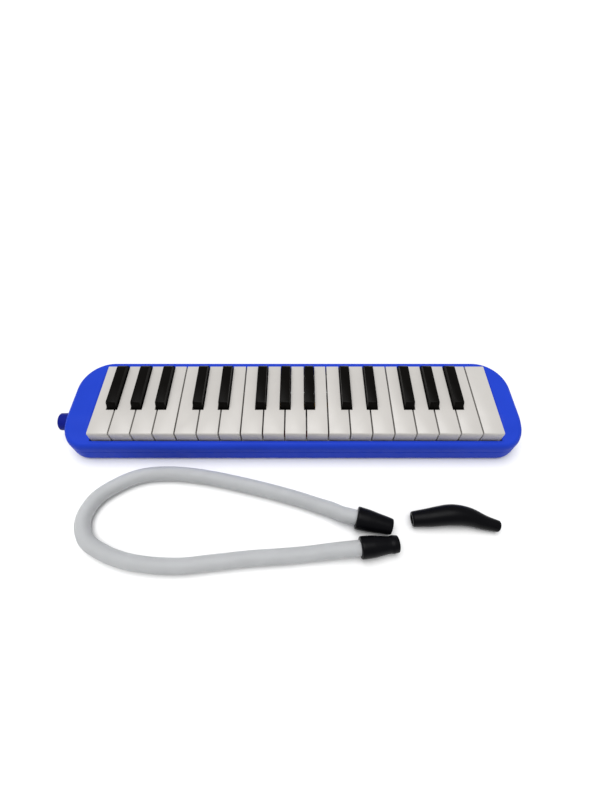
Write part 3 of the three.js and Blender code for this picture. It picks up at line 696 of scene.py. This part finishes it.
def lip_reach(well, well_outward):
    """How far the rounding round the well reaches along x and along y, narrowing to the rear corners."""
    opening = np.sin(np.clip((WELL_Y[1] - well[:, 1]) / LIP_TAPER, 0, 1) * math.pi / 2)
    along_x = LIP_REAR_REACH + (LIP_CHEEK_REACH - LIP_REAR_REACH) * opening
    along_y = np.where(well_outward[:, 1] < 0, LIP_FRONT_REACH, LIP_REAR_REACH)
    return np.column_stack([along_x, along_y])


def make_upper_case():
    """One skin through rings: up the wall, over the top, down into the well and back inside."""
    outline, outward = case_ring()
    round_in = by_side(outward, *EDGE_IN)
    round_down = by_side(outward, *EDGE_DOWN)
    well, well_outward = plan_ring(WELL_X, WELL_Y, WELL_CORNER, WELL_CORNER)
    lip_out = lip_reach(well, well_outward) * well_outward
    lip_down = np.minimum(by_side(well_outward, *LIP_DOWN), top_z(well[:, 1]) - LIP_FLOOR_Z)
    shoulder = top_z(outline[:, 1]) - round_down
    inner_edge = outline - round_in[:, None] * outward
    crown = top_z(inner_edge[:, 1])

    bottom = PARTING_Z + SEAM_GAP / 2
    rings = [
        ring_at(outline - SEAM * outward, bottom),
        ring_at(outline, bottom + SEAM),
        ring_at(outline, (PARTING_Z + shoulder) / 2),
    ]
    for angle in np.linspace(0, math.pi / 2, 14):
        plan = outline - (round_in * (1 - math.cos(angle)))[:, None] * outward
        rings.append(ring_at(plan, shoulder + (crown - shoulder) * math.sin(angle)))
    lip = well + lip_out
    for t in np.linspace(0, 1, 16)[1:]:
        plan = (1 - t) * inner_edge + t * lip
        rings.append(ring_at(plan, top_z(plan[:, 1])))
    for angle in np.linspace(0, math.pi / 2, 8)[1:]:
        plan = well + lip_out * (1 - math.sin(angle))
        rings.append(ring_at(plan, top_z(lip[:, 1]) - lip_down * (1 - math.cos(angle))))
    rings.append(ring_at(well, WELL_FLOOR_Z))

    behind_well = well + CASE_WALL * well_outward
    behind_round = outline - np.maximum(round_in - CASE_WALL, CASE_WALL)[:, None] * outward
    behind_wall = outline - CASE_WALL * outward
    rings += [
        ring_at(behind_well, WELL_FLOOR_Z),
        ring_at(behind_well, top_z(behind_well[:, 1]) - ROOF),
        ring_at(behind_round, top_z(behind_round[:, 1]) - ROOF),
        ring_at(behind_wall, shoulder - 1),
        ring_at(behind_wall, bottom),
    ]
    shell = clean(mesh_object("upper_shell", *loft(rings, wrap_rings=True)))
    return finish_shell(shell, "upper_case", [port_cutter()])


def make_lower_case():
    outline, outward = case_ring()
    inset, height = BOTTOM_ROUND["inset"], BOTTOM_ROUND["height"]
    top = PARTING_Z - SEAM_GAP / 2
    rings = []
    for t in np.linspace(0, 1, 12):
        rings.append(ring_at(outline - inset * (1 - t) ** 2 * outward, height * t**2))
    rings += [
        ring_at(outline, top - SEAM),
        ring_at(outline - SEAM * outward, top),
        ring_at(outline - CASE_WALL * outward, top),
        ring_at(outline - CASE_WALL * outward, height),
        ring_at(outline - (inset + 1) * outward, ROOF),
    ]
    points, faces = loft(rings)
    count = len(outline)
    faces.append(tuple(range(count)))
    faces.append(tuple(range(len(points) - count, len(points))))
    shell = clean(mesh_object("lower_shell", points, faces))
    button_hole = rod(
        "button_hole",
        DRAIN["cap_radius"] + HOLE_GAP,
        (HALF_LENGTH - 6, DRAIN["y"], DRAIN["z"]),
        (HALF_LENGTH + 2, DRAIN["y"], DRAIN["z"]),
    )
    recesses = []
    for x, y in SCREW_SPOTS:
        recesses.append(rod("recess", SCREW_RECESS["radius"], (x, y, -1), (x, y, SCREW_RECESS["depth"])))
    return finish_shell(shell, "lower_case", [port_cutter(), button_hole, *recesses])


def port_cutter():
    """The hole of the blow port, which both halves of the casing share."""
    start = (-HALF_LENGTH - 2, PORT["y"], PORT["z"])
    end = (-HALF_LENGTH + 8, PORT["y"], PORT["z"])
    return rod("port_hole", PORT["radius"] + HOLE_GAP, start, end, 64)


def finish_shell(obj, node, cutters):
    """Cuts the holes of a half of the casing and evens out its shading."""
    combine(obj, cutters, "DIFFERENCE")
    obj.data.set_sharp_from_angle(angle=math.radians(35))
    weigh = obj.modifiers.new("weigh", "WEIGHTED_NORMAL")
    weigh.keep_sharp = True
    return finish_piece(obj, "case", "case_blue", node)


make_upper_case()
make_lower_case()

# ---------------------------------------------------------------- blow port, button and screws


def make_blow_port():
    """The stub with its collar, and the manifold that leads the air round to the chamber's inlet."""
    length = COLLAR["x"] - PORT["end_x"]
    line = Spine([(PORT["end_x"], PORT["y"], PORT["z"]), (MANIFOLD["x"][0] + 1, PORT["y"], PORT["z"])])
    profile = [
        (PORT["bore"], 0),
        (PORT["end_radius"], 0),
        (PORT["radius"], length),
        (COLLAR["radius"], length),
        (COLLAR["radius"], line.length),
        (PORT["bore"], line.length),
    ]
    tube = turned("blow_port_tube", softened(profile, EDGE_ROUND), line, 64)
    wall = MANIFOLD["wall"]
    x, y, z = MANIFOLD["x"], MANIFOLD["y"], MANIFOLD["z"]
    spigot_x = (x[1] - 1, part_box("blow_port")[1].x / MM)
    inlet_y, inlet_z, rim = AIR_INLET["y"], AIR_INLET["z"], AIR_INLET["wall"]
    bodies = [box("manifold", x, y, z), box("spigot", spigot_x, grow(inlet_y, rim), grow(inlet_z, rim))]
    combine(tube, bodies, "UNION")
    hollows = [
        box("air_space", grow(x, -wall), grow(y, -wall), grow(z, -wall)),
        rod("bore", PORT["bore"], (x[0] - 3, PORT["y"], PORT["z"]), (x[0] + wall + 1, PORT["y"], PORT["z"])),
        box("inlet", (x[1] - wall - 1, spigot_x[1] + 1), inlet_y, inlet_z),
    ]
    combine(tube, hollows, "DIFFERENCE")
    tube.data.set_sharp_from_angle(angle=math.radians(40))
    return finish_piece(tube, "case", "port_blue", "blow_port")


def make_button():
    """The water button: its cap, the flange that keeps it in and the rod to the valve."""
    line = Spine([(BUTTON_ROD_X, DRAIN["y"], DRAIN["z"]), (DRAIN["end_x"], DRAIN["y"], DRAIN["z"])])
    flange = [x - BUTTON_ROD_X for x in BUTTON_FLANGE_X]
    profile = [
        (0, 0),
        (DRAIN["rod_radius"], 0),
        (DRAIN["rod_radius"], flange[0]),
        (DRAIN["flange_radius"], flange[0]),
        (DRAIN["flange_radius"], flange[1]),
        (DRAIN["cap_radius"], flange[1]),
        (DRAIN["cap_radius"], line.length),
        (0, line.length),
    ]
    obj = turned("drain_button", softened(profile, EDGE_ROUND), line, 48)
    return finish_piece(obj, "water_button_body", "black_plastic", "water_button")


def make_screw(number, spot, tip_z):
    """A screw put in from below, with a cross slot."""
    line = Spine([(*spot, 0), (*spot, tip_z)])
    head, shank = SCREW["head_radius"], SCREW["shank_radius"]
    head_low, head_high = SCREW["head_z"]
    chamfer_in, chamfer_up = SCREW["chamfer"]
    profile = [
        (0, head_low),
        (head - chamfer_in, head_low),
        (head, head_low + chamfer_up),
        (head, head_high),
        (shank, head_high),
        (shank, tip_z - SCREW["point"]),
        (0, tip_z),
    ]
    obj = turned(f"screw_{number}", softened(profile, SCREW["round"]), line, 32)
    x, y = spot
    long, wide, slot_z = CROSS_SLOT["half_length"], CROSS_SLOT["half_width"], (0, CROSS_SLOT["top_z"])
    bars = [
        box("bar", (x - long, x + long), (y - wide, y + wide), slot_z),
        box("bar", (x - wide, x + wide), (y - long, y + long), slot_z),
    ]
    combine(obj, bars, "DIFFERENCE")
    return finish_piece(obj, "case", "steel", f"case_screw_{number}")


make_blow_port()
make_button()
for i, (spot, tip_z) in enumerate(zip(SCREW_SPOTS, SCREW_TIPS)):
    make_screw(i + 1, spot, tip_z)

# ---------------------------------------------------------------- springs

KEY_NAMES = [
    name for name in frame["nodes"] if name.startswith("key_") and f"{name}_body" in frame["bodies"]
]


def pad_middle_x(key):
    """The middle of a key's pad, which is the lowest part of the key."""
    points = np.array([vertex.co for vertex in frame["nodes"][key].data.vertices]) / MM
    lowest = points[points[:, 2] < points[:, 2].min() + 0.1]
    return (lowest[:, 0].min() + lowest[:, 0].max()) / 2


def make_spring_finger(key):
    """One finger of the comb: flat on the strip and reaching to the key's lug at its tip."""
    x = pad_middle_x(key)
    tip_y, tip_z = COMB["tip"]
    start_y, start_z = COMB["y"][0], COMB["base_z"] + COMB["thickness"]
    # The top of the finger leaves the strip's front edge and rises to the tip, flatter again at its end.
    path = [
        (x, start_y + 2, start_z + 0.01),
        (x, start_y, start_z + 0.15),
        (x, tip_y + 2, tip_z - 0.7),
        (x, tip_y, tip_z),
    ]
    rings = []
    for _, y, top in curve_through(path, 24):
        # The last 2 mm narrow to a blunt tip.
        half = COMB["finger_width"] / 2 * min(1, math.sqrt(max(0.15, (y - tip_y) / 2)))
        bottom = top - COMB["thickness"]
        rings.append([(x - half, y, bottom), (x + half, y, bottom), (x + half, y, top), (x - half, y, top)])
    points, faces = loft(rings)
    faces += [(3, 2, 1, 0), tuple(range(len(points) - 4, len(points)))]
    obj = clean(mesh_object(key.replace("key_", "spring_finger_"), points, faces))
    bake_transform(obj)
    return paint_piece(obj, "brass", "key_spring_comb")


def make_comb_strip():
    """The strip that the fingers grow from.

    It runs between the first and the last key in the alphabet, A3 and Gs5, so it stops short of the
    fingers of the four lowest and the four highest notes.
    """
    ends = [pad_middle_x(key) for key in (KEY_NAMES[0], KEY_NAMES[-1])]
    strip = box(
        "spring_strip",
        grow((min(ends), max(ends)), 4),
        COMB["y"],
        (COMB["base_z"], COMB["base_z"] + COMB["thickness"]),
    )
    return finish_piece(strip, "case", "brass", "key_spring_comb")


def make_valve_spring():
    """A compression spring with closed ends."""
    low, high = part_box("water_valve_spring")
    wire = VALVE_SPRING["wire_radius"]
    radius = (high.y - low.y) / 2 / MM - wire
    start, end = low.x / MM + wire, high.x / MM - wire
    turns, closed_turns = VALVE_SPRING["turns"], VALVE_SPRING["closed_turns"]
    points_per_turn = 28
    turn = np.linspace(0, turns, turns * points_per_turn + 1)
    open_share = np.clip((turn - closed_turns) / (turns - 2 * closed_turns), 0, 1)
    closed = np.clip(turn, 0, closed_turns) + np.clip(turn - (turns - closed_turns), 0, closed_turns)
    pitch = VALVE_SPRING["closed_pitch"]
    x = start + pitch * closed + (end - start - 2 * closed_turns * pitch) * open_share
    curve = bpy.data.curves.new("valve_spring", "CURVE")
    curve.dimensions = "3D"
    curve.bevel_depth = wire * MM
    curve.bevel_resolution = 3
    curve.use_fill_caps = True
    spline = curve.splines.new("POLY")
    spline.points.add(len(turn) - 1)
    for point, place_x, angle in zip(spline.points, x, 2 * math.pi * turn):
        y = DRAIN["y"] + radius * math.cos(angle)
        z = DRAIN["z"] + radius * math.sin(angle)
        point.co = (place_x * MM, y * MM, z * MM, 1)
    bent = bpy.data.objects.new("valve_spring_curve", curve)
    scene.collection.objects.link(bent)
    mesh = bpy.data.meshes.new_from_object(bent.evaluated_get(bpy.context.evaluated_depsgraph_get()))
    bpy.data.objects.remove(bent)
    obj = bpy.data.objects.new("valve_spring", mesh)
    scene.collection.objects.link(obj)
    clean(obj)
    finish_piece(obj, "case", "steel", "water_valve_spring")
    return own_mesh(obj)


make_comb_strip()
for key in KEY_NAMES:
    make_spring_finger(key)
make_valve_spring()

# ---------------------------------------------------------------- CAD nodes that stay


def refine(node, width_mm, segments):
    """Rounds the edges of a CAD node."""
    weld = node.modifiers.new("weld", "WELD")
    weld.merge_threshold = 1e-6
    flat = node.modifiers.new("flat", "DECIMATE")
    flat.decimate_type = "DISSOLVE"
    flat.angle_limit = math.radians(1)
    bevel = node.modifiers.new("bevel", "BEVEL")
    bevel.width = width_mm * MM
    bevel.segments = segments
    bevel.limit_method = "ANGLE"
    bevel.angle_limit = math.radians(35)
    bevel.harden_normals = True
    node.data.shade_smooth()


CAD_SLOTS = {
    "valve_board": "board_plastic",
    "key_shaft": "steel",
    "front_felt": "felt",
    "reed_plate_low": "brass",
    "reed_plate_high": "brass",
    "air_chamber": "chamber_plastic",
    "chamber_gasket": "rubber_seal",
    "blow_port_seal": "rubber_seal",
    "water_valve_pad": "rubber_seal",
}


def paint_node(name, slot):
    """Gives a CAD node its material."""
    node = frame["nodes"][name]
    node.data.materials.clear()
    node.data.materials.append(MATERIALS[slot])
    return node


for name, slot in CAD_SLOTS.items():
    paint_node(name, slot).data.shade_smooth()
    frame["nodes"][name].data.set_sharp_from_angle(angle=math.radians(35))

# The name of a black key has an s for sharp after its note.
for name in KEY_NAMES:
    if "s" in name.split("_")[1]:
        refine(paint_node(name, "key_black"), 0.9, 4)
    else:
        refine(paint_node(name, "key_white"), 0.45, 3)

# ---------------------------------------------------------------- floor and light

FLOOR_REACH = 8000
FLOOR_Z = -0.2
WORLD_STRENGTH = 0.42
LAMP_STRENGTH = 2.7
LAMP_WIDTH_DEG = 50
LAMP_FROM = (-0.08, 0.04, 0.99)


def make_floor():
    """A white floor just under the lowest point of the object."""
    corners = [(-1, -1), (1, -1), (1, 1), (-1, 1)]
    points = [(x * FLOOR_REACH, y * FLOOR_REACH, 0) for x, y in corners]
    floor = mesh_object("floor", points, [(0, 1, 2, 3)])
    finish = Finish("floor_white", (0.88, 0.88, 0.88), 0.9, Specular_IOR_Level=0)
    floor.data.materials.append(finish.material)
    floor.location.z = FLOOR_Z * MM


def make_light():
    """A broad lamp almost overhead, a little to the left and the back, in a dim white surround."""
    world = bpy.data.worlds.new("world")
    world.use_nodes = True
    background = world.node_tree.nodes["Background"]
    background.inputs["Color"].default_value = (1, 1, 1, 1)
    background.inputs["Strength"].default_value = WORLD_STRENGTH
    scene.world = world
    lamp = bpy.data.lights.new("lamp", "SUN")
    lamp.energy = LAMP_STRENGTH
    lamp.angle = math.radians(LAMP_WIDTH_DEG)
    obj = bpy.data.objects.new("lamp", lamp)
    obj.rotation_euler = Vector(LAMP_FROM).to_track_quat("Z", "Y").to_euler()
    scene.collection.objects.link(obj)
    scene.view_settings.view_transform = "Standard"


make_floor()
make_light()
